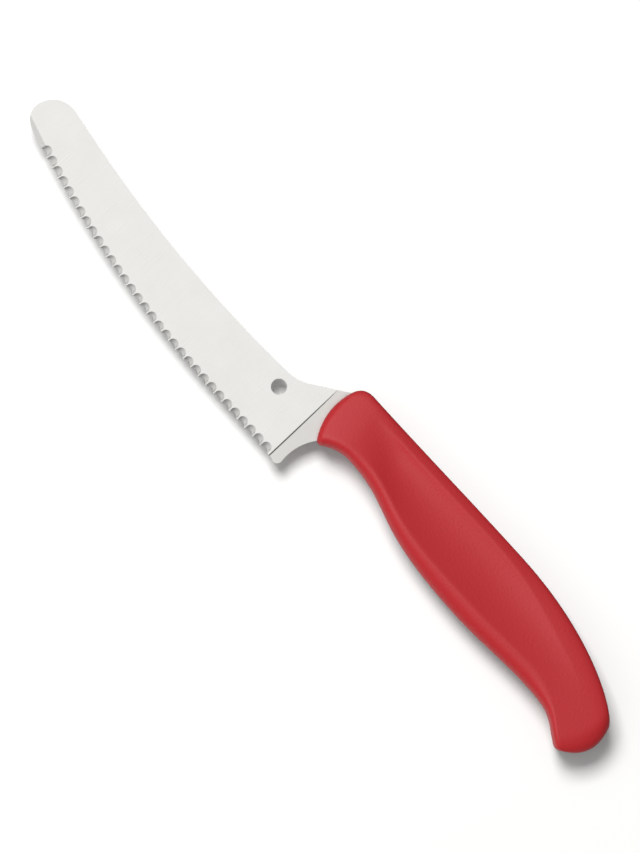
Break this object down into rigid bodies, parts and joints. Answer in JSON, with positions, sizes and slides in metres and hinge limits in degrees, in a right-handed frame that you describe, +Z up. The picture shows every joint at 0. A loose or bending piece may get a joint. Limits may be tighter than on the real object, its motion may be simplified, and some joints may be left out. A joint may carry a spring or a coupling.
{
  "type": "serrated kitchen knife",
  "caption": "Round-nosed serrated kitchen knife: a slim ground steel blade with a hanging hole, and a red moulded plastic handle with a finger notch and a hooked butt.",
  "frame": {"origin": "middle of the bottom of the box round the knife, which lies on its side", "axes": "+X along the knife from nose to butt, +Y across it from the cutting edge to the back, +Z up, out of the side that the teeth are ground on"},
  "size_m": [0.2164, 0.0308, 0.014],
  "materials": {
    "blade_steel": "fine satin grind",
    "handle_plastic": "fine moulded grain"
  },
  "bodies": {
    "root": {"blade": "blade_steel", "handle": "handle_plastic"}
  },
  "joints": []
}
